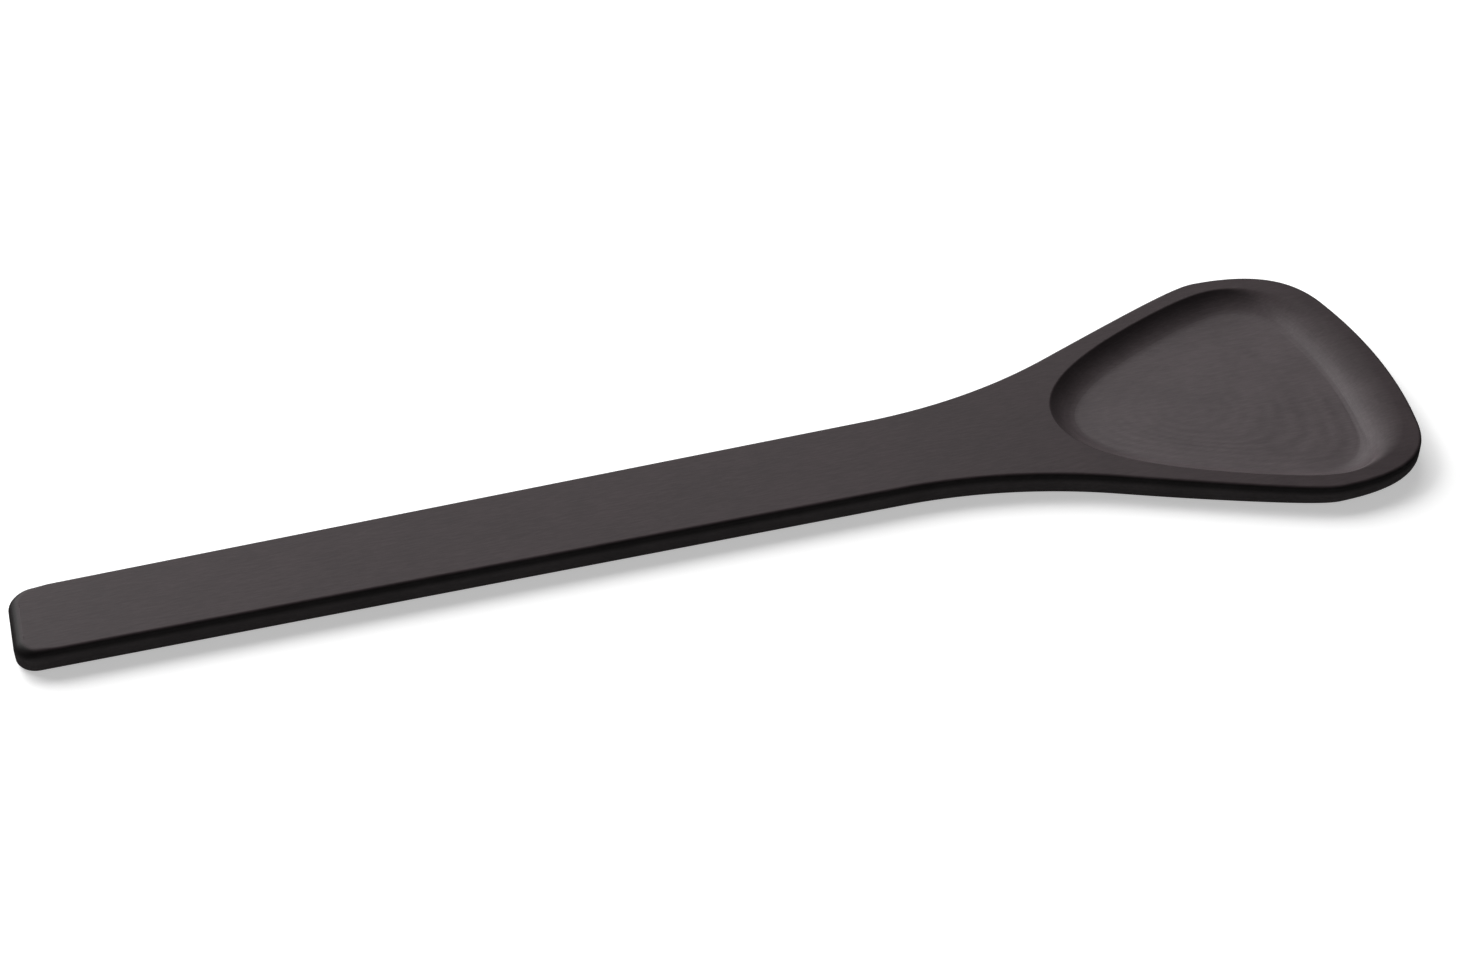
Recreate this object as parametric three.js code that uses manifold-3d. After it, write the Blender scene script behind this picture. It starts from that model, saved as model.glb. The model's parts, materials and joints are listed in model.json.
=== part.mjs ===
// Mixing spoon cut from one pressed fibre laminate board, with a bowl routed into the top of its head.
// Millimetres, +Z up, +X from the handle end to the tip.
// The origin is the middle of the footprint, on the rest face.
import * as THREE from "three";
import { mergeVertices } from "three/addons/utils/BufferGeometryUtils.js";
import Module from "manifold-3d";

// The laminate: bonded sheets, all cut to the same outline
const sheetThickness = 0.25; // a quarter of a millimetre keeps each glue line exact
const sheetCount = 25;
const boardThickness = sheetThickness * sheetCount;

// The handle
const overallLength = 340;
const handleEndWidth = 22.7;
const handleNeckWidth = 27.8; // where the shoulder's line leaves the handle
const endCornerRadius = 5;
const endCornerFullness = 0.55; // close to a circular arc

// The head
const neckToTip = 106;
const neckBlend = 26.4; // how far the neck's arc reaches to each side of its corner
const headWidth = 86.8;
const widestToTip = 31.4;
const shoulderLead = 5.9; // from the shoulder's corner to the widest station
const shoulderFullness = 0.82;
const tipRadius = 113;
const tipArcWidth = 52.4;
const cornerFullness = 0.69;

// The rounded edges
const topEdgeRadius = 0.8;
const edgeRadius = 1.5; // along the underside
const headUnderRadius = 2.9; // the underside is eased more around the front of the head
const easeStartToTip = 75;
const easeFullToTip = 25;

// The bowl's rim, on the top face
const heelToTip = 88; // from the bowl's heel to the spoon's tip
const heelLeave = 34.2; // how far the heel's curve runs before the straight flank
const heelFullness = 0.695;
const flareLand = 4.74; // flat left between the rim and the outline, beside the flare
const sideLand = 4.62; // the same at the widest station
const tipLand = 8.6;
const rimWidestToTip = 28.5;
const rimShoulderFullness = 0.705;
const rimTipArcWidth = 44;
const rimCornerFullness = 0.64;

// The bowl's wall and dished floor
const rimEase = 0.6; // radius where the land turns down into the bowl
const tipEase = 17; // the same at the tip, where it rolls over softly
const tipGather = 9; // how closely that soft roll keeps to the tip
const wallDepth = 3.6;
const wallWidth = 7.3; // in plan, at the heel and sides
const tipWallWidth = 6;
const dishDepth = 0.3;
const dishMiddleShare = 0.47; // how far along the bowl its deepest point lies

// Finish
const skinColour = 0x4b4848;
const coreColour = 0x524e51;
const skinRoughness = 0.62;
const coreRoughness = 0.78;

const wasm = await Module();
wasm.setup();

// One closed body for cutting, from loose triangles.
function solid(geometry) {
  const bare = new THREE.BufferGeometry().setAttribute("position", geometry.getAttribute("position"));
  if (geometry.index) bare.setIndex(geometry.index);
  const merged = mergeVertices(bare, 1e-4);
  const mesh = new wasm.Mesh({
    numProp: 3,
    vertProperties: merged.getAttribute("position").array,
    triVerts: new Uint32Array(merged.index.array),
  });
  return new wasm.Manifold(mesh);
}

// A finished body back as a flat-shaded geometry.
function geometryOf(body) {
  const mesh = body.getMesh();
  const geometry = new THREE.BufferGeometry();
  geometry.setAttribute("position", new THREE.BufferAttribute(mesh.vertProperties, 3));
  geometry.setIndex(new THREE.BufferAttribute(mesh.triVerts, 1));
  const flat = geometry.toNonIndexed();
  flat.computeVertexNormals();
  return flat;
}

// A shape's corner as a smooth curve that leaves and arrives along its two tangents.
function softCorner(start, corner, end, fullness) {
  return new THREE.CubicBezierCurve(
    start,
    start.clone().lerp(corner, fullness),
    end.clone().lerp(corner, fullness),
    end,
  );
}

// From the widest station, a corner round to the tip's arc and on to the middle of the tip.
function tipHalf(widest, tipX, radius, halfWidth, fullness) {
  const spread = Math.asin(halfWidth / radius);
  const arrive = new THREE.Vector2(Math.cos(spread), Math.sin(spread));
  arrive.multiplyScalar(radius);
  arrive.x += tipX - radius;
  const corner = new THREE.Vector2(arrive.x - (widest.y - arrive.y) * Math.tan(spread), widest.y);
  return {
    corner: softCorner(widest, corner, arrive, fullness),
    arc: new THREE.EllipseCurve(tipX - radius, 0, radius, radius, spread, 0, true),
  };
}

// Points and outward normals along a run of curves, mirrored across the long axis into one closed loop.
function mirroredLoop(runs) {
  const half = [];
  runs.forEach(([curve, steps], index) => {
    const last = index === runs.length - 1 ? steps : steps - 1;
    for (let i = 0; i <= last; i++) {
      const point = curve.getPoint(i / steps);
      const along = curve.getTangent(i / steps);
      half.push({ x: point.x, y: point.y, outX: -along.y, outY: along.x });
    }
  });
  const ends = [half[0], half[half.length - 1]];
  ends.forEach((point) => {
    point.y = 0;
    point.outX = Math.sign(point.outX);
    point.outY = 0;
  });
  const other = half.slice(1, -1).map((point) => ({ ...point, y: -point.y, outY: -point.outY }));
  return [half[0], ...other, half[half.length - 1], ...half.slice(1, -1).reverse()];
}

// A closed skin over a stack of loops with the same number of points, from the lowest to the highest.
function skinOver(rings) {
  const count = rings[0].length;
  const positions = rings.flat().flatMap((point) => [point.x, point.y, point.z]);
  const triangles = [];
  for (let ring = 0; ring + 1 < rings.length; ring++) {
    for (let i = 0; i < count; i++) {
      const next = (i + 1) % count;
      const low = ring * count;
      const high = low + count;
      triangles.push(low + i, low + next, high + next);
      triangles.push(low + i, high + next, high + i);
    }
  }
  const top = (rings.length - 1) * count;
  const plan = (ring) => ring.map((point) => new THREE.Vector2(point.x, point.y));
  const flat = (ring) => THREE.ShapeUtils.triangulateShape(plan(ring), []);
  flat(rings[0]).forEach(([a, b, c]) => triangles.push(a, c, b));
  flat(rings[rings.length - 1]).forEach(([a, b, c]) => triangles.push(top + a, top + b, top + c));
  const geometry = new THREE.BufferGeometry();
  geometry.setAttribute("position", new THREE.Float32BufferAttribute(positions, 3));
  geometry.setIndex(triangles);
  return solid(geometry);
}

// How far a rounded edge draws in at a height measured from the face it rounds.
function drawnIn(radius, height) {
  if (height >= radius) return 0;
  const rest = radius - height;
  return radius - Math.sqrt(radius * radius - rest * rest);
}

// The board's outline
const endHalf = handleEndWidth / 2;
const neckCorner = new THREE.Vector2(overallLength - neckToTip, handleNeckWidth / 2);
const widest = new THREE.Vector2(overallLength - widestToTip, headWidth / 2);
const shoulder = new THREE.Vector2(widest.x - shoulderLead, widest.y);
const taper = Math.atan2(neckCorner.y - endHalf, neckCorner.x);
const lean = Math.atan2(shoulder.y - neckCorner.y, shoulder.x - neckCorner.x);
const sideAt = (x) => new THREE.Vector2(x, endHalf + x * Math.tan(taper));
const cornerStart = new THREE.Vector2(0, endHalf - endCornerRadius);
const cornerEnd = sideAt(endCornerRadius);
const neckStart = sideAt(neckCorner.x - neckBlend * Math.cos(taper));
const neckRadius = neckBlend / Math.tan((lean - taper) / 2);
const neckMiddle = new THREE.Vector2(-Math.sin(taper), Math.cos(taper));
neckMiddle.multiplyScalar(neckRadius).add(neckStart);
const neckBegin = taper - Math.PI / 2;
const neckEnd = lean - Math.PI / 2;
const neckLeave = new THREE.Vector2(Math.cos(neckEnd), Math.sin(neckEnd));
neckLeave.multiplyScalar(neckRadius).add(neckMiddle);
const tip = tipHalf(widest, overallLength, tipRadius, tipArcWidth / 2, cornerFullness);
const outline = mirroredLoop([
  [new THREE.LineCurve(new THREE.Vector2(0, 0), cornerStart), 1],
  [softCorner(cornerStart, sideAt(0), cornerEnd, endCornerFullness), 6],
  [new THREE.LineCurve(cornerEnd, neckStart), 1],
  [new THREE.EllipseCurve(neckMiddle.x, neckMiddle.y, neckRadius, neckRadius, neckBegin, neckEnd), 7],
  [softCorner(neckLeave, shoulder, widest, shoulderFullness), 8],
  [tip.corner, 10],
  [tip.arc, 4],
]);

// The board, with a loop at each glue line so that its rounded edges follow the sheets
function underRadiusAt(x) {
  const ease = THREE.MathUtils.smoothstep(x, overallLength - easeStartToTip, overallLength - easeFullToTip);
  return THREE.MathUtils.lerp(edgeRadius, headUnderRadius, ease);
}
const boardRings = [];
for (let line = 0; line <= sheetCount; line++) {
  const z = line * sheetThickness;
  boardRings.push(
    outline.map((point) => {
      const under = drawnIn(underRadiusAt(point.x), z);
      const over = drawnIn(topEdgeRadius, boardThickness - z);
      const inset = Math.max(under, over);
      return { x: point.x - point.outX * inset, y: point.y - point.outY * inset, z };
    }),
  );
}
const board = skinOver(boardRings);

// The bowl's rim, set in from the outline
const heel = new THREE.Vector2(overallLength - heelToTip, 0);
const rimTipX = overallLength - tipLand;
const flankDrop = neckCorner.y - neckCorner.x * Math.tan(lean) - flareLand / Math.cos(lean);
const flankAt = (x) => new THREE.Vector2(x, flankDrop + x * Math.tan(lean));
const flankStart = flankAt(heel.x + heelLeave);
const rimWidest = new THREE.Vector2(overallLength - rimWidestToTip, widest.y - sideLand);
const rimShoulder = new THREE.Vector2((rimWidest.y - flankDrop) / Math.tan(lean), rimWidest.y);
const rimTip = tipHalf(rimWidest, rimTipX, tipRadius - tipLand, rimTipArcWidth / 2, rimCornerFullness);
const rim = mirroredLoop([
  [softCorner(heel, flankAt(heel.x), flankStart, heelFullness), 8],
  [softCorner(flankStart, rimShoulder, rimWidest, rimShoulderFullness), 4],
  [rimTip.corner, 8],
  [rimTip.arc, 3],
]);

// The wall below each point of the rim: a rounded edge, then an arc that ends on the dished floor's slope
const dishMiddle = THREE.MathUtils.lerp(heel.x, rimTipX, dishMiddleShare);
function wallBelow(point) {
  const nearTip = ((1 + point.outX) / 2) ** tipGather;
  const width = THREE.MathUtils.lerp(wallWidth, tipWallWidth, nearTip);
  const ease = THREE.MathUtils.lerp(rimEase, tipEase, nearTip);
  const reach = (point.x - dishMiddle) * point.outX + point.y * point.outY - width;
  const foot = Math.atan((2 * dishDepth) / reach);
  let low = foot + 0.01;
  let high = 1.4;
  let wall;
  for (let halving = 0; halving < 40; halving++) {
    const steep = (low + high) / 2;
    const easeDepth = ease * (1 - Math.cos(steep));
    const radius = (wallDepth - easeDepth) / (Math.cos(foot) - Math.cos(steep));
    const lead = ease * Math.tan(steep / 2); // the rounded edge starts this far outside the rim
    const crossed = ease * Math.sin(steep) - lead + radius * (Math.sin(steep) - Math.sin(foot));
    wall = { width, ease, steep, easeDepth, radius, lead };
    if (crossed > width) low = steep;
    else high = steep;
  }
  return wall;
}
const walls = rim.map(wallBelow);

// How far in from the rim the wall has come at a depth.
function wallInset(wall, depth) {
  if (depth >= wallDepth) return wall.width;
  if (depth < wall.easeDepth) {
    const turn = Math.acos(1 - depth / wall.ease);
    return wall.ease * Math.sin(turn) - wall.lead;
  }
  const slope = Math.acos(Math.min(Math.cos(wall.steep) + (depth - wall.easeDepth) / wall.radius, 1));
  const edge = wall.ease * Math.sin(wall.steep) - wall.lead;
  return edge + wall.radius * (Math.sin(wall.steep) - Math.sin(slope));
}
function bowlPoint(point, wall, depth) {
  const inset = wallInset(wall, depth);
  const x = point.x - point.outX * inset;
  const y = point.y - point.outY * inset;
  const share = Math.sqrt(1 - Math.max(depth - wallDepth, 0) / dishDepth);
  return { x: dishMiddle + (x - dishMiddle) * share, y: y * share, z: boardThickness - depth };
}

// Loops down the bowl, one to a glue line
const bowlDepth = wallDepth + dishDepth;
const ringAt = (depth) => rim.map((point, i) => bowlPoint(point, walls[i], depth));
const bowlRings = [ringAt(0).map((point) => ({ ...point, z: boardThickness + sheetThickness }))];
for (let depth = 0; depth < bowlDepth - sheetThickness * 0.1; depth += sheetThickness) {
  bowlRings.push(ringAt(depth));
}
bowlRings.push(ringAt(bowlDepth - dishDepth * 0.02)); // a small flat in place of a sharp point
const bowl = skinOver(bowlRings.reverse());

// The cut board, parted at its glue lines into its sheets
const spoon = board.subtract(bowl);
const root = new THREE.Group();
root.name = "mixing_spoon";
root.position.x = -overallLength / 2;
const skin = new THREE.MeshStandardMaterial({ color: skinColour, roughness: skinRoughness, metalness: 0 });
const core = new THREE.MeshStandardMaterial({ color: coreColour, roughness: coreRoughness, metalness: 0 });
for (let sheet = 0; sheet < sheetCount; sheet++) {
  const slab = new THREE.BoxGeometry(overallLength * 2, headWidth * 2, sheetThickness);
  slab.translate(overallLength / 2, 0, (sheet + 0.5) * sheetThickness);
  const cut = spoon.intersect(solid(slab));
  const isFace = sheet === 0 || sheet === sheetCount - 1;
  const mesh = new THREE.Mesh(geometryOf(cut), isFace ? skin : core);
  mesh.name = `core_sheet_${String(sheet + 1).padStart(2, "0")}`;
  if (sheet === 0) mesh.name = "bottom_face_sheet";
  if (sheet === sheetCount - 1) mesh.name = "top_face_sheet";
  root.add(mesh);
}

export default root;
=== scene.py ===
import json
import math

import bpy
from mathutils import Matrix, Vector

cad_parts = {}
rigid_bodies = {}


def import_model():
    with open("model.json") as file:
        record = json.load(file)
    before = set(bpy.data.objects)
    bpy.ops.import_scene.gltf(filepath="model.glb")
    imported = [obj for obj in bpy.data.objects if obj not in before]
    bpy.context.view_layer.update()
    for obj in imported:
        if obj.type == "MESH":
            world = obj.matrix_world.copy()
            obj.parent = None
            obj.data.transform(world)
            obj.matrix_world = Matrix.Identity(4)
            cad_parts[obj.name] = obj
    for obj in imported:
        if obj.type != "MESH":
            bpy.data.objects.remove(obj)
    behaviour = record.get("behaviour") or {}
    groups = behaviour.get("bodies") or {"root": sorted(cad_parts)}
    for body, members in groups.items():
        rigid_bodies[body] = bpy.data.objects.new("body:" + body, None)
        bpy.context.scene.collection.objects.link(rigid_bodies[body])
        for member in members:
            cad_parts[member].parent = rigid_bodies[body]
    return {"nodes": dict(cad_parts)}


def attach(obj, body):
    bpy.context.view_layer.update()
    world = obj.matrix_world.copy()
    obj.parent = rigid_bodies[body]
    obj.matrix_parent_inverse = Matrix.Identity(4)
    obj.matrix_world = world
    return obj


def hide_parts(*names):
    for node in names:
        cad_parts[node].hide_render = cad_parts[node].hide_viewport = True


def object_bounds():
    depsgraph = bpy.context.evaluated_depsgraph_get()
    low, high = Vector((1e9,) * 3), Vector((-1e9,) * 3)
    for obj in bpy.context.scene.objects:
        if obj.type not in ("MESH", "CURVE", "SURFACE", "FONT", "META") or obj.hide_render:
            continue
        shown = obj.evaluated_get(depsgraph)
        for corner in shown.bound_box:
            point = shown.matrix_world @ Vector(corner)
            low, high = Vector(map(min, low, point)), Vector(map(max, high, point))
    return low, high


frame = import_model()
cadLow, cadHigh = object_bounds()  # the CAD box, before anything is added
print("frame loaded, nodes:", len(frame["nodes"]))

mm = 0.001  # the shape below is written in millimetres

# Outline, rim and bowl, by the construction that the solids use
spoonShape = {
    "length": (cadHigh.x - cadLow.x) / mm,
    "headWidth": (cadHigh.y - cadLow.y) / mm,
    "board": (cadHigh.z - cadLow.z) / mm,
    "endWidth": 22.7,
    "neckWidth": 27.8,  # where the shoulder's line leaves the handle
    "endCorner": 5.0,
    "endCornerFullness": 0.55,
    "neckToTip": 106.0,
    "neckBlend": 26.4,  # reach of the neck's arc on each side of its corner
    "widestToTip": 31.4,
    "shoulderLead": 5.9,
    "shoulderFullness": 0.82,
    "tipRadius": 113.0,
    "tipArcWidth": 52.4,
    "cornerFullness": 0.69,
    "topEdgeRadius": 0.8,
    "endEdgeRadius": 2.6,  # the top edge at the handle end, softer here than in the solids
    "endEdgeReach": 9.0,  # how far from the end that softer edge lasts
    "edgeRadius": 1.5,  # along the underside
    "headUnderRadius": 2.9,  # softer underside round the front of the head
    "easeStartToTip": 75.0,
    "easeFullToTip": 25.0,
    "heelToTip": 88.0,  # the bowl's rim, from its heel round to the tip
    "heelLeave": 34.2,
    "heelFullness": 0.695,
    "flareLand": 4.74,
    "sideLand": 4.62,
    "tipLand": 8.6,
    "rimWidestToTip": 28.5,
    "rimShoulderFullness": 0.705,
    "rimTipArcWidth": 44.0,
    "rimCornerFullness": 0.64,
    "rimEase": 0.6,  # radius where the land turns down into the bowl
    "tipEase": 17.0,  # the same at the tip, where it rolls over softly
    "wallDepth": 3.6,
    "wallWidth": 7.3,
    "tipWallWidth": 6.0,
    "tipGather": 9,  # how closely the soft roll keeps to the tip
    "dishDepth": 0.3,
    "dishMiddleShare": 0.47,
    "dishRoundShare": 0.85,  # the floor's loops turn to circles inside this share of it
    "holdLoop": 0.2,  # spacing of the loops that keep the flats flat
    "sideTurns": (0.4, 1.1),  # radians of a rounded edge over which the cut side's tone, darkened with painted shade, comes in
    "endSideTurns": (0.02, 0.4),  # the same at the handle end
    "milledShares": (0.3, 1.0),  # part of the eased rim over which the milled tone comes in
}

# Steps along each stretch of the half outline, from the handle end to the tip
spoonSteps = {
    "end": 6,
    "endCorner": 10,
    "side": 44,
    "neckPlain": 12,  # the neck's arc beside the handle
    "neckBowl": 14,  # the neck's arc beside the bowl's heel
    "shoulder": 26,
    "heel": 28,  # heel and rim shoulder together match the two above
    "rimShoulder": 12,
    "corner": 28,
    "tip": 12,
    "round": 8,  # loops over each rounded edge
    "ease": 6,  # loops over the bowl's rim
    "wall": 10,
    "dish": 12,
}


def mixValue(a, b, share):
    return a + (b - a) * share


def mixPoint(a, b, share):
    return (mixValue(a[0], b[0], share), mixValue(a[1], b[1], share))


def smoothStep(value, low, high):
    share = min(max((value - low) / (high - low), 0.0), 1.0)
    return share * share * (3 - 2 * share)


def lineRun(a, b):
    length = math.dist(a, b)
    along = ((b[0] - a[0]) / length, (b[1] - a[1]) / length)
    return lambda t: (*mixPoint(a, b, t), -along[1], along[0])


def arcRun(middle, radius, start, end):
    turn = 1 if end > start else -1

    def run(t):
        angle = start + (end - start) * t
        c, s = math.cos(angle), math.sin(angle)
        return (middle[0] + radius * c, middle[1] + radius * s, -c * turn, -s * turn)

    return run


def bendRun(start, corner, end, fullness):
    grips = (start, mixPoint(start, corner, fullness), mixPoint(end, corner, fullness), end)

    def run(t):
        u = 1 - t
        weights = (u * u * u, 3 * u * u * t, 3 * u * t * t, t * t * t)
        slopes = (u * u, 2 * u * t, t * t)
        place = [sum(w * g[i] for w, g in zip(weights, grips)) for i in (0, 1)]
        along = [sum(s * (grips[k + 1][i] - grips[k][i]) for k, s in enumerate(slopes)) for i in (0, 1)]
        size = math.hypot(*along)
        return (place[0], place[1], -along[1] / size, along[0] / size)

    return run


def halfLoop(runs):  # points with outward directions, from the axis round to the axis again
    points = []
    for index, (run, steps) in enumerate(runs):
        last = index == len(runs) - 1
        points += [run(i / steps) for i in range(steps + last)]
    return points


def fullLoop(half):
    return half + [(x, -y, outX, -outY) for x, y, outX, outY in reversed(half[1:-1])]


def tipRuns(widest, tipX, tipRadius, tipHalf, fullness):  # round the corner to the middle of the tip
    spread = math.asin(tipHalf / tipRadius)
    arrive = (tipX - tipRadius + tipRadius * math.cos(spread), tipHalf)
    corner = (arrive[0] - (widest[1] - arrive[1]) * math.tan(spread), widest[1])
    bend = bendRun(widest, corner, arrive, fullness)
    return bend, arcRun((tipX - tipRadius, 0), tipRadius, spread, 0)


def spoonLoops(shape, steps):
    length = shape["length"]
    endHalf = shape["endWidth"] / 2
    neck = (length - shape["neckToTip"], shape["neckWidth"] / 2)
    widest = (length - shape["widestToTip"], shape["headWidth"] / 2)
    shoulder = (widest[0] - shape["shoulderLead"], widest[1])
    taper = math.atan2(neck[1] - endHalf, neck[0])
    lean = math.atan2(shoulder[1] - neck[1], shoulder[0] - neck[0])

    def sideAt(x):
        return (x, endHalf + x * math.tan(taper))

    cornerStart = (0, endHalf - shape["endCorner"])
    cornerEnd = sideAt(shape["endCorner"])
    neckStart = sideAt(neck[0] - shape["neckBlend"] * math.cos(taper))
    neckRadius = shape["neckBlend"] / math.tan((lean - taper) / 2)
    neckMiddle = (neckStart[0] - neckRadius * math.sin(taper),
                  neckStart[1] + neckRadius * math.cos(taper))
    neckLow, neckHigh = taper - math.pi / 2, lean - math.pi / 2
    neckShare = steps["neckPlain"] / (steps["neckPlain"] + steps["neckBowl"])
    neckTurn = neckLow + (neckHigh - neckLow) * neckShare
    leave = (neckMiddle[0] + neckRadius * math.cos(neckHigh),
             neckMiddle[1] + neckRadius * math.sin(neckHigh))
    corner, tip = tipRuns(widest, length, shape["tipRadius"],
                          shape["tipArcWidth"] / 2, shape["cornerFullness"])
    outline = halfLoop([
        (lineRun((0, 0), cornerStart), steps["end"]),
        (bendRun(cornerStart, sideAt(0), cornerEnd, shape["endCornerFullness"]), steps["endCorner"]),
        (lineRun(cornerEnd, neckStart), steps["side"]),
        (arcRun(neckMiddle, neckRadius, neckLow, neckTurn), steps["neckPlain"]),
        (arcRun(neckMiddle, neckRadius, neckTurn, neckHigh), steps["neckBowl"]),
        (bendRun(leave, shoulder, widest, shape["shoulderFullness"]), steps["shoulder"]),
        (corner, steps["corner"]),
        (tip, steps["tip"]),
    ])
    outline[0] = (0, 0, -1, 0)
    outline[-1] = (length, 0, 1, 0)

    heel = length - shape["heelToTip"]
    drop = neck[1] - neck[0] * math.tan(lean) - shape["flareLand"] / math.cos(lean)

    def flareAt(x):  # the rim's straight flank, beside the outline's flare
        return (x, drop + x * math.tan(lean))

    rimHigh = shape["headWidth"] / 2 - shape["sideLand"]
    rimWidest = (length - shape["rimWidestToTip"], rimHigh)
    rimLeave = flareAt(heel + shape["heelLeave"])
    rimShoulder = ((rimHigh - drop) / math.tan(lean), rimHigh)
    corner, tip = tipRuns(rimWidest, length - shape["tipLand"], shape["tipRadius"] - shape["tipLand"],
                          shape["rimTipArcWidth"] / 2, shape["rimCornerFullness"])
    rim = halfLoop([
        (bendRun((heel, 0), flareAt(heel), rimLeave, shape["heelFullness"]), steps["heel"]),
        (bendRun(rimLeave, rimShoulder, rimWidest, shape["rimShoulderFullness"]), steps["rimShoulder"]),
        (corner, steps["corner"]),
        (tip, steps["tip"]),
    ])
    rim[0] = (heel, 0, -1, 0)
    rim[-1] = (length - shape["tipLand"], 0, 1, 0)
    dishMiddle = heel + (rim[-1][0] - heel) * shape["dishMiddleShare"]
    return outline, rim, dishMiddle


class MeshDraft:  # vertices, faces and painted values, gathered loop by loop
    def __init__(self):
        self.points = []
        self.faces = []
        self.paint = {"milled": [], "edge": [], "side": [], "inward": []}

    def addLoop(self, points, **paint):  # each painted value is one number, or a list, one per point
        first = len(self.points)
        self.points += points
        for label, values in self.paint.items():
            value = paint.get(label, 0)
            values += value if isinstance(value, list) else [value] * len(points)
        return list(range(first, first + len(points)))

    def bridge(self, low, high):
        count = len(low)
        for i in range(count):
            j = (i + 1) % count
            self.faces.append((low[i], high[i], high[j], low[j]))

    def ladder(self, loop, stop, faceUp):  # rungs across a mirrored loop, from its start to one station
        count = len(loop)
        for i in range(stop):
            near, far = loop[(count - i) % count], loop[count - i - 1]
            face = [near, far, loop[i + 1], loop[i]]
            if i == 0:
                face = [near, far, loop[1]]
            if i + 1 == count // 2:
                face = [near, loop[i + 1], loop[i]]
            self.faces.append(tuple(face if faceUp else reversed(face)))


def underRadius(shape, x):
    low, high = shape["length"] - shape["easeStartToTip"], shape["length"] - shape["easeFullToTip"]
    return mixValue(shape["edgeRadius"], shape["headUnderRadius"], smoothStep(x, low, high))


def nearEnd(shape, x):  # 1 at the handle end, 0 beyond the reach of its softer edge
    return 1 - smoothStep(x, 0.0, shape["endEdgeReach"])


def topRadius(shape, x):
    return mixValue(shape["topEdgeRadius"], shape["endEdgeRadius"], nearEnd(shape, x))


def sideMask(shape, x, turn):  # where the rounded top edge takes on the cut side's tone, darkened with painted shade
    low, high = mixPoint(shape["sideTurns"], shape["endSideTurns"], nearEnd(shape, x))
    return smoothStep(turn, low, high)


def towardsTip(shape, outX, side, tip):  # from a value at the sides to one where the rim faces the tip
    return mixValue(side, tip, ((1 + outX) / 2) ** shape["tipGather"])


wallSearch = {"aboveFoot": 0.01, "steepest": 1.4, "halvings": 40}  # slopes in radians


def wallArc(width, depth, ease, foot):  # steepest slope and radius of a wall that leaves an eased rim
    low, high = foot + wallSearch["aboveFoot"], wallSearch["steepest"]
    for halving in range(wallSearch["halvings"]):
        steep = (low + high) / 2
        radius = (depth - ease * (1 - math.cos(steep))) / (math.cos(foot) - math.cos(steep))
        lead = ease * math.tan(steep / 2)
        reach = ease * math.sin(steep) + radius * (math.sin(steep) - math.sin(foot)) - lead
        if reach > width:
            low = steep
        else:
            high = steep
    return steep, radius, lead


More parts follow.
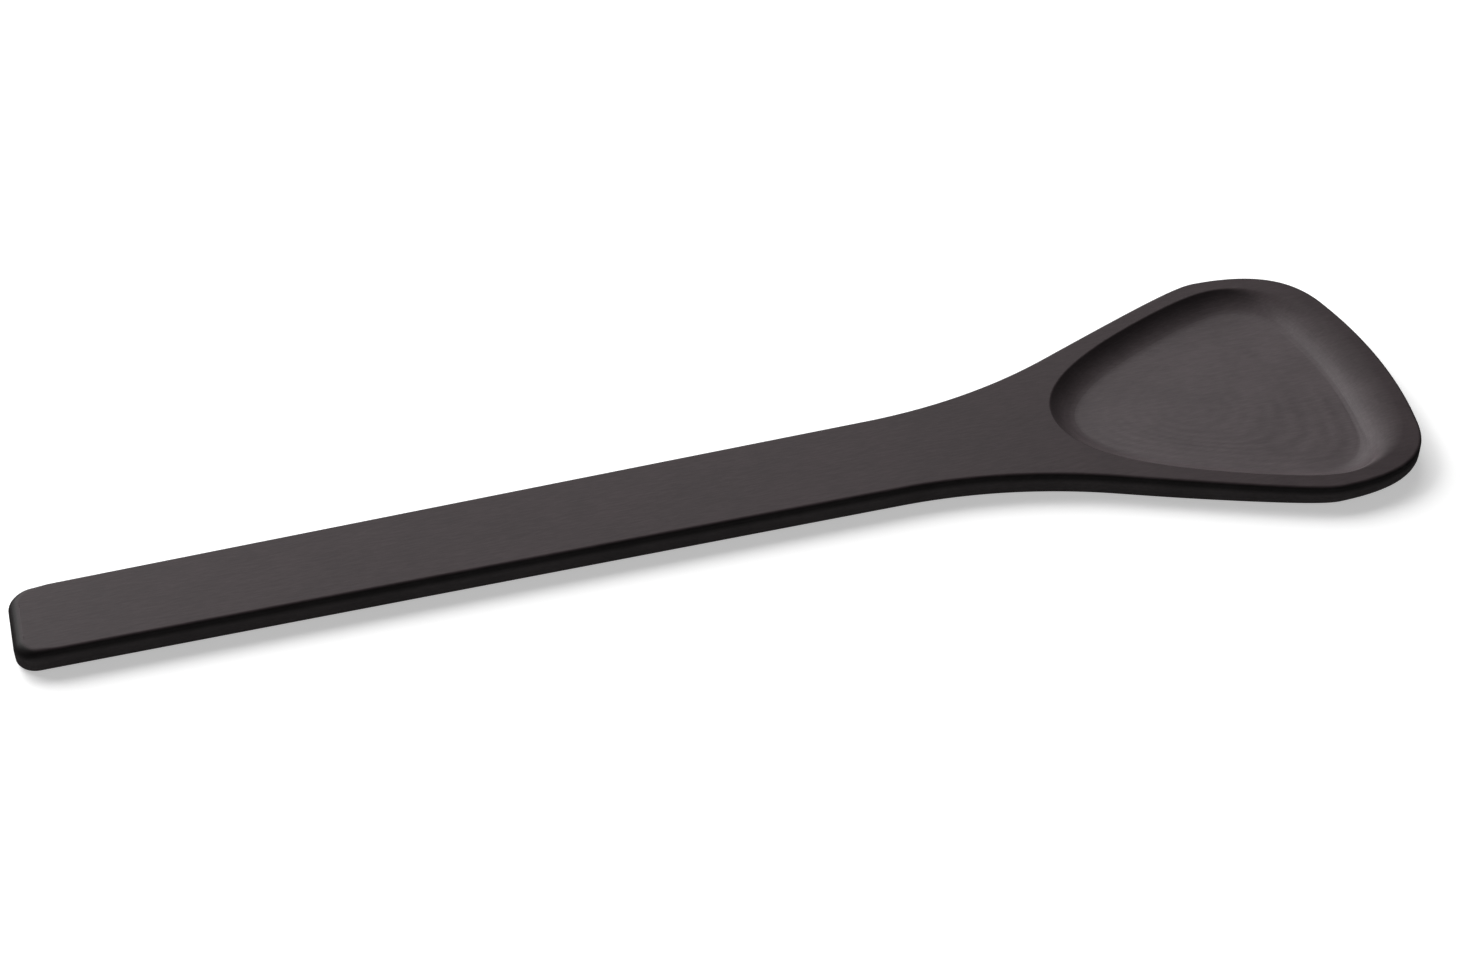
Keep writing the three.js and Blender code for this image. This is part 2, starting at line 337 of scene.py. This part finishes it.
def buildSpoon(shape, steps):
    outlineHalf, rimHalf, dishMiddle = spoonLoops(shape, steps)
    outline, rim = fullLoop(outlineHalf), fullLoop(rimHalf)
    board = shape["board"]
    shift = shape["length"] / 2  # the origin is the middle of the footprint
    draft = MeshDraft()

    def setIn(loop, inset, height):
        return [((x - outX * inset(x) - shift) * mm, (y - outY * inset(x)) * mm, height(x) * mm)
                for x, y, outX, outY in loop]

    # Underside, rounded edges and side, from the resting face upwards
    hold = shape["holdLoop"]
    loops = [draft.addLoop(setIn(outline, lambda x: underRadius(shape, x) + hold, lambda x: 0))]
    for k in range(steps["round"] + 1):
        turn = math.pi / 2 * k / steps["round"]
        loops.append(draft.addLoop(
            setIn(outline, lambda x: underRadius(shape, x) * (1 - math.sin(turn)),
                  lambda x: underRadius(shape, x) * (1 - math.cos(turn))),
            edge=math.sin(2 * turn), side=smoothStep(turn, *shape["sideTurns"])))
    for k in range(steps["round"] + 1):
        turn = math.pi / 2 * (1 - k / steps["round"])
        loops.append(draft.addLoop(
            setIn(outline, lambda x: topRadius(shape, x) * (1 - math.sin(turn)),
                  lambda x: board - topRadius(shape, x) * (1 - math.cos(turn))),
            edge=[math.sin(2 * turn) * (1 - nearEnd(shape, point[0])) for point in outline],
            side=[sideMask(shape, point[0], turn) for point in outline]))
    top = draft.addLoop(setIn(outline, lambda x: topRadius(shape, x) + hold, lambda x: board))
    loops.append(top)
    for low, high in zip(loops, loops[1:]):
        draft.bridge(low, high)
    half = len(outlineHalf) - 1
    draft.ladder(loops[0], half, False)

    # Bowl, from the land inwards: eased rim, wall, then the dished floor
    profiles, ring = [], []
    for x, y, outX, outY in rim:
        width = towardsTip(shape, outX, shape["wallWidth"], shape["tipWallWidth"])
        ease = towardsTip(shape, outX, shape["rimEase"], shape["tipEase"])
        reach = (x - dishMiddle) * outX + y * outY - width
        foot = math.atan(2 * shape["dishDepth"] / reach)  # slope that the dished floor starts with
        profiles.append((ease, foot, *wallArc(width, shape["wallDepth"], ease, foot)))
        ring.append((x - outX * width - dishMiddle, y - outY * width))
    turns = [math.pi * (1 - 2 * i / len(rim)) for i in range(len(rim))]
    roundness = sum(math.hypot(*point) for point in ring) / len(ring)

    def wallLoop(section):
        points = []
        for (x, y, outX, outY), profile in zip(rim, profiles):
            inset, depth = section(*profile)
            points.append(((x - outX * inset - shift) * mm,
                           (y - outY * inset) * mm, (board - depth) * mm))
        return points

    def easeAt(share):
        return lambda ease, foot, steep, radius, lead: (
            ease * math.sin(steep * share) - lead, ease * (1 - math.cos(steep * share)))

    def wallAt(share):
        def section(ease, foot, steep, radius, lead):
            slope = steep + (foot - steep) * share
            return (ease * math.sin(steep) - lead + radius * (math.sin(steep) - math.sin(slope)),
                    ease * (1 - math.cos(steep)) + radius * (math.cos(slope) - math.cos(steep)))
        return section

    def dishLoop(share):  # the wall's foot drawn in, turning to a circle towards the middle
        depth = shape["wallDepth"] + shape["dishDepth"] * (1 - share * share)
        points = []
        for spot, turn in zip(ring, turns):
            middle = (roundness * math.cos(turn), roundness * math.sin(turn))
            x, y = mixPoint(middle, spot, smoothStep(share, 0.0, shape["dishRoundShare"]))
            points.append(((dishMiddle + x * share - shift) * mm,
                           y * share * mm, (board - depth) * mm))
        return points

    bowl = [draft.addLoop(wallLoop(lambda ease, foot, steep, radius, lead: (-lead - hold, 0)))]
    for k in range(steps["ease"] + 1):
        share = k / steps["ease"]
        bowl.append(draft.addLoop(
            wallLoop(easeAt(share)),
            milled=smoothStep(share, *shape["milledShares"]), edge=1 - abs(2 * share - 1)))
    for k in range(1, steps["wall"] + 1):
        share = k / steps["wall"]
        inward = shape["wallWidth"] * share * mm
        bowl.append(draft.addLoop(wallLoop(wallAt(share)), milled=1, inward=inward))
    for k in range(1, steps["dish"]):
        share = k / steps["dish"]
        inward = (shape["wallWidth"] + roundness * share) * mm
        bowl.append(draft.addLoop(dishLoop(1 - share), milled=1, inward=inward))
    for outer, inner in zip(bowl, bowl[1:]):
        draft.bridge(outer, inner)
    rimCount = len(rimHalf) - 1
    draft.ladder(bowl[-1], rimCount, True)

    # Flat top: rungs across the handle, then the land between the outline and the rim
    neckIndex = half - rimCount
    draft.ladder(top, neckIndex, True)
    land = bowl[0]
    count, rimLoop = len(top), len(land)
    draft.faces.append((top[count - neckIndex], land[0], top[neckIndex]))
    for i in range(rimCount):
        a, b = neckIndex + i, neckIndex + i + 1
        draft.faces.append((land[i], land[i + 1], top[b], top[a]))
        draft.faces.append((top[count - a], top[count - b], land[(rimLoop - i - 1) % rimLoop],
                            land[(rimLoop - i) % rimLoop]))
    return draft


def meshObject(name, draft):
    mesh = bpy.data.meshes.new(name)
    mesh.from_pydata(draft.points, [], draft.faces)
    mesh.validate()
    for label, values in draft.paint.items():
        layer = mesh.attributes.new(label, "FLOAT", "POINT")
        layer.data.foreach_set("value", values)
    mesh.polygons.foreach_set("use_smooth", [True] * len(mesh.polygons))
    mesh.update()
    piece = bpy.data.objects.new(name, mesh)
    bpy.context.scene.collection.objects.link(piece)
    return piece


spoonBody = meshObject("spoon_body", buildSpoon(spoonShape, spoonSteps))
print("spoon body:", len(spoonBody.data.vertices), "points,", len(spoonBody.data.polygons), "faces")

# Dark slate fibre laminate: pressed faces, a milled bowl, sheets showing where the cut crosses them, and
# cut sides darkened with painted shade
laminateFinish = {
    "pressedColour": (0.0436, 0.0341, 0.0363, 1),
    "milledColour": (0.0706, 0.0582, 0.0614, 1),
    # painted shade: the cut sides are darker than the milled core, for the shade they lie in
    "shadedSideColour": (0.0330, 0.0292, 0.0298, 1),
    "sideShadeBand": (3.6 * mm, 4.9 * mm),  # heights between which painted shade darkens the cut side
    "underEdgeShade": 0.35,  # painted shade: the cut side's tone just under the top edge, which also darkens the rounded handle end
    "sheet": 0.25 * mm,
    "sheetWander": 0.8,  # how far the sheets' lines drift, in sheets
    "sheetContrast": 0.03,
    "lineWidth": 0.16,  # of a glue line on each side, in sheets
    "lineContrast": 0.04,
    "grainRoughness": 0.6,
    "mottleScale": 85,
    "mottleRange": (0.3, 0.7),
    "mottleContrast": 0.22,
    "driftScale": 18,
    "fibreRuns": ((0.5, (260, 1900, 1900)), (-0.7, (240, 1700, 1700))),  # angle and stretch
    "fibreRange": (0.45, 0.75),
    "fibreContrast": 0.20,
    "fineScale": 2600,
    "passSpacing": 3.7 * mm,  # between the router's passes in the bowl
    "passContrast": 0.065,
    "passFade": (-10 * mm, 1 * mm),  # they are fainter on the far side of this band
    "passFaint": 0.2,
    "patchStretch": (30, 190, 190),  # the patches that break the passes up
    "patchRange": (0.30, 0.62),
    "patchFaint": 0.2,
    "edgeLift": 0.10,
    "wornRange": (0.4, 0.65),
    "wornFaint": 0.2,
    "roughness": 0.45,
    "milledRoughness": 0.37,
    "mottleRoughness": 0.18,
    "wornPolish": 0.06,
    "specular": 0.058,
    "milledSpecular": 0.076,
    "bumpStrength": 0.6,
    "bumpHeight": 0.035 * mm,
    "fineRelief": 0.5,
    "fibreRelief": 0.6,
    "lineRelief": -0.4,
    "passRelief": 0.5,
}


class NodeDesk:  # short way to place and link nodes in one tree
    def __init__(self, tree):
        self.tree = tree

    def add(self, kind, **settings):
        node = self.tree.nodes.new(kind)
        for key, value in settings.items():
            setattr(node, key, value)
        return node

    def join(self, source, target):
        self.tree.links.new(source, target)

    def put(self, socket, value):
        if isinstance(value, bpy.types.NodeSocket):
            self.join(value, socket)
        else:
            socket.default_value = value

    def painted(self, label):
        return self.add("ShaderNodeAttribute", attribute_name=label).outputs["Fac"]

    def calc(self, operation, *values, clamp=False):
        node = self.add("ShaderNodeMath", operation=operation, use_clamp=clamp)
        for socket, value in zip(node.inputs, values):
            self.put(socket, value)
        return node.outputs[0]

    def product(self, first, *others):
        for other in others:
            first = self.calc("MULTIPLY", first, other)
        return first

    def rescale(self, value, low, high, newLow, newHigh):
        node = self.add("ShaderNodeMapRange", clamp=True)
        for socket, item in zip(node.inputs, (value, low, high, newLow, newHigh)):
            self.put(socket, item)
        return node.outputs[0]

    def spread(self, value, band, reach):  # a factor that lies within this reach of 1
        return self.rescale(value, *band, 1 - reach, 1 + reach)

    def noise(self, vector, scale, detail, roughness=0.5):
        node = self.add("ShaderNodeTexNoise")
        self.join(vector, node.inputs["Vector"])
        node.inputs["Scale"].default_value = scale
        node.inputs["Detail"].default_value = detail
        node.inputs["Roughness"].default_value = roughness
        return node.outputs["Fac"]

    def stretched(self, vector, angle, scale):
        node = self.add("ShaderNodeMapping")
        self.join(vector, node.inputs["Vector"])
        node.inputs["Rotation"].default_value = (0, 0, angle)
        node.inputs["Scale"].default_value = scale
        return node.outputs["Vector"]

    def mixColour(self, share, a, b, blend="MIX"):
        node = self.add("ShaderNodeMix", data_type="RGBA", blend_type=blend)
        self.put(node.inputs["Factor"], share)
        self.put(node.inputs["A"], a)
        self.put(node.inputs["B"], b)
        return node.outputs["Result"]

    def tinted(self, colour, factor):
        grey = self.add("ShaderNodeCombineColor")
        for socket in grey.inputs:
            self.join(factor, socket)
        return self.mixColour(1.0, colour, grey.outputs[0], "MULTIPLY")


def makeLaminate(finish):
    material = bpy.data.materials.new("fibre_laminate")
    material.use_nodes = True
    desk = NodeDesk(material.node_tree)
    shader = material.node_tree.nodes["Principled BSDF"]
    place = desk.add("ShaderNodeTexCoord").outputs["Object"]
    across = desk.add("ShaderNodeSeparateXYZ")
    desk.join(place, across.inputs[0])
    milled, edge = desk.painted("milled"), desk.painted("edge")
    side, inward = desk.painted("side"), desk.painted("inward")
    cut = desk.calc("MAXIMUM", milled, side)

    # Noises that tone, gloss and relief share
    grain = finish["grainRoughness"]
    mottle = desk.noise(place, finish["mottleScale"], 5, grain)
    drift = desk.calc("SUBTRACT", desk.noise(place, finish["driftScale"], 2), 0.5)
    runs = [desk.stretched(place, angle, stretch) for angle, stretch in finish["fibreRuns"]]
    fibre = desk.calc("MAXIMUM", *[desk.noise(run, 1, 3, grain) for run in runs])
    fine = desk.noise(place, finish["fineScale"], 3, grain)

    # Sheet number and place within the sheet, from the height; the drift keeps the lines from being ruled
    wander = desk.calc("MULTIPLY", drift, finish["sheet"] * finish["sheetWander"])
    count = desk.calc("DIVIDE", desk.calc("ADD", across.outputs["Z"], wander), finish["sheet"])
    tone = desk.add("ShaderNodeTexWhiteNoise", noise_dimensions="1D")
    desk.join(desk.calc("FLOOR", count), tone.inputs["W"])
    within = desk.calc("FRACT", count)
    fromLine = desk.calc("MINIMUM", within, desk.calc("SUBTRACT", 1.0, within))
    line = desk.calc("MULTIPLY", desk.rescale(fromLine, 0.0, finish["lineWidth"], 1.0, 0.0), cut)

    # The router's passes, broken up so that they show only here and there
    travel = desk.calc("MULTIPLY_ADD", drift, finish["passSpacing"], inward)
    wave = desk.calc("SINE", desk.calc("MULTIPLY", travel, 2 * math.pi / finish["passSpacing"]))
    patches = desk.noise(desk.stretched(place, 0.0, finish["patchStretch"]), 1, 3, grain)
    broken = desk.rescale(patches, *finish["patchRange"], finish["patchFaint"], 1.0)
    nearSide = desk.rescale(across.outputs["Y"], *finish["passFade"], 1.0, finish["passFaint"])
    passes = desk.product(wave, broken, nearSide, milled)

    # Tone: one factor made of all the small variations
    shade = desk.spread(mottle, finish["mottleRange"], finish["mottleContrast"] / 2)
    strands = desk.spread(fibre, finish["fibreRange"], finish["fibreContrast"] / 2)
    sheets = desk.rescale(tone.outputs["Value"], 0, 1, -finish["sheetContrast"], finish["sheetContrast"])
    sheetsHere = desk.calc("MULTIPLY_ADD", sheets, cut, 1.0)
    linesHere = desk.calc("MULTIPLY_ADD", line, -finish["lineContrast"], 1.0)
    wear = desk.rescale(mottle, *finish["wornRange"], finish["wornFaint"], 1.0)
    worn = desk.calc("MULTIPLY", edge, wear)
    edgeHere = desk.calc("MULTIPLY_ADD", worn, finish["edgeLift"], 1.0)
    passesHere = desk.calc("MULTIPLY_ADD", passes, finish["passContrast"], 1.0)
    factor = desk.product(shade, strands, sheetsHere, linesHere, edgeHere, passesHere)
    base = desk.mixColour(milled, finish["pressedColour"], finish["milledColour"])
    # Painted shade: the cut sides take a darker colour, darker still just under the top edge
    sideShadeFactor = desk.rescale(across.outputs["Z"], *finish["sideShadeBand"], 1.0, finish["underEdgeShade"])
    base = desk.mixColour(side, base, desk.tinted(finish["shadedSideColour"], sideShadeFactor))
    desk.join(desk.tinted(base, factor), shader.inputs["Base Color"])

    # Gloss: the milled bowl and the worn edges are a little smoother
    rough = desk.rescale(milled, 0, 1, finish["roughness"], finish["milledRoughness"])
    patchy = desk.calc("SUBTRACT", mottle, 0.5)
    rough = desk.calc("MULTIPLY_ADD", patchy, finish["mottleRoughness"], rough)
    rough = desk.calc("MULTIPLY_ADD", worn, -finish["wornPolish"], rough, clamp=True)
    desk.join(rough, shader.inputs["Roughness"])
    gloss = desk.rescale(milled, 0, 1, finish["specular"], finish["milledSpecular"])
    desk.join(gloss, shader.inputs["Specular IOR Level"])

    # Fine relief: grain, fibres, glue lines and passes
    relief = desk.calc("MULTIPLY", fine, finish["fineRelief"])
    relief = desk.calc("MULTIPLY_ADD", fibre, finish["fibreRelief"], relief)
    relief = desk.calc("MULTIPLY_ADD", line, finish["lineRelief"], relief)
    relief = desk.calc("MULTIPLY_ADD", passes, finish["passRelief"], relief)
    bump = desk.add("ShaderNodeBump")
    bump.inputs["Strength"].default_value = finish["bumpStrength"]
    bump.inputs["Distance"].default_value = finish["bumpHeight"]
    desk.join(relief, bump.inputs["Height"])
    desk.join(bump.outputs["Normal"], shader.inputs["Normal"])
    return material


laminate = makeLaminate(laminateFinish)
spoonBody.data.materials.append(laminate)
for node in frame["nodes"].values():
    node.data.materials.clear()
    node.data.materials.append(laminate)
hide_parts(*sorted(frame["nodes"]))
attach(spoonBody, "root")
print("laminate finish on")

# Pale floor and soft light from behind and the left
studio = {
    "floorSize": 6.0,
    "floorGap": 0.02 * mm,  # just under the resting face
    "floorColour": (0.8, 0.8, 0.8, 1),
    "floorRoughness": 0.9,
    "floorSpecular": 0.1,
    "floorGlow": 0.45,  # the white ground is lit from below as well
    "white": (1, 1, 1, 1),
    "ambient": 0.065,
    "aim": (0, 0, 0),
    "lights": {
        "leftBox": {"place": (-0.80, 1.08, 0.80), "size": (1.1, 1.1), "power": 25.6},
        "backStrip": {"place": (0.00, 0.98, 0.75), "size": (1.35, 1.1), "power": 15.7},
    },
}


def makeFloor(settings):
    size = settings["floorSize"] / 2
    mesh = bpy.data.meshes.new("studio_floor")
    corners = [(-size, -size, 0), (size, -size, 0), (size, size, 0), (-size, size, 0)]
    mesh.from_pydata(corners, [], [(0, 1, 2, 3)])
    floor = bpy.data.objects.new("studio_floor", mesh)
    bpy.context.scene.collection.objects.link(floor)
    floor.location.z = cadLow.z - settings["floorGap"]
    paint = bpy.data.materials.new("studio_floor")
    paint.use_nodes = True
    shader = paint.node_tree.nodes["Principled BSDF"]
    shader.inputs["Base Color"].default_value = settings["floorColour"]
    shader.inputs["Roughness"].default_value = settings["floorRoughness"]
    shader.inputs["Emission Color"].default_value = settings["white"]
    shader.inputs["Emission Strength"].default_value = settings["floorGlow"]
    shader.inputs["Specular IOR Level"].default_value = settings["floorSpecular"]
    mesh.materials.append(paint)
    floor.visible_glossy = False  # matte paper: it lights the spoon but is not mirrored in it


def makeLight(name, settings, aim):
    light = bpy.data.lights.new(name, "AREA")
    light.shape = "RECTANGLE"
    light.size, light.size_y = settings["size"]
    light.energy = settings["power"]
    lamp = bpy.data.objects.new(name, light)
    lamp.location = settings["place"]
    lamp.rotation_euler = (aim - lamp.location).to_track_quat("-Z", "Y").to_euler()
    bpy.context.scene.collection.objects.link(lamp)


makeFloor(studio)
for lightName, lightSettings in studio["lights"].items():
    makeLight(lightName, lightSettings, Vector(studio["aim"]))
world = bpy.data.worlds.new("studio_air")
bpy.context.scene.world = world
world.use_nodes = True
air = world.node_tree.nodes["Background"]
air.inputs["Color"].default_value = studio["white"]
air.inputs["Strength"].default_value = studio["ambient"]
bpy.context.scene.view_settings.view_transform = "Standard"
print("studio lit")

# Camera at the photograph's viewing angle, worked out from the spoon's outline
viewpoint = {
    "place": (28.98, -460.40, 407.90),  # millimetres from the handle end, the axis and the floor
    "yaw": 0.2945,
    "pitch": 0.69694,
    "focalPixels": 2632.7,
    "imageWidth": 1460,
    "sensor": 36.0,
    "clipStart": 0.01,
}


def makeCamera(settings):
    camera = bpy.data.cameras.new("photo_view")
    camera.sensor_fit = "HORIZONTAL"
    camera.sensor_width = settings["sensor"]
    camera.lens = settings["focalPixels"] / settings["imageWidth"] * settings["sensor"]
    camera.clip_start = settings["clipStart"]
    seat = bpy.data.objects.new("photo_view", camera)
    yaw, pitch = settings["yaw"], settings["pitch"]
    ahead = Vector((math.sin(yaw) * math.cos(pitch), math.cos(yaw) * math.cos(pitch), -math.sin(pitch)))
    right = Vector((math.cos(yaw), -math.sin(yaw), 0))
    up = right.cross(ahead)
    turn = Matrix((right, up, -ahead)).transposed().to_4x4()
    x, y, z = settings["place"]
    seat.matrix_world = Matrix.Translation(Vector((x * mm + cadLow.x, y * mm, z * mm))) @ turn
    bpy.context.scene.collection.objects.link(seat)
    bpy.context.scene.camera = seat


makeCamera(viewpoint)
print("camera set")
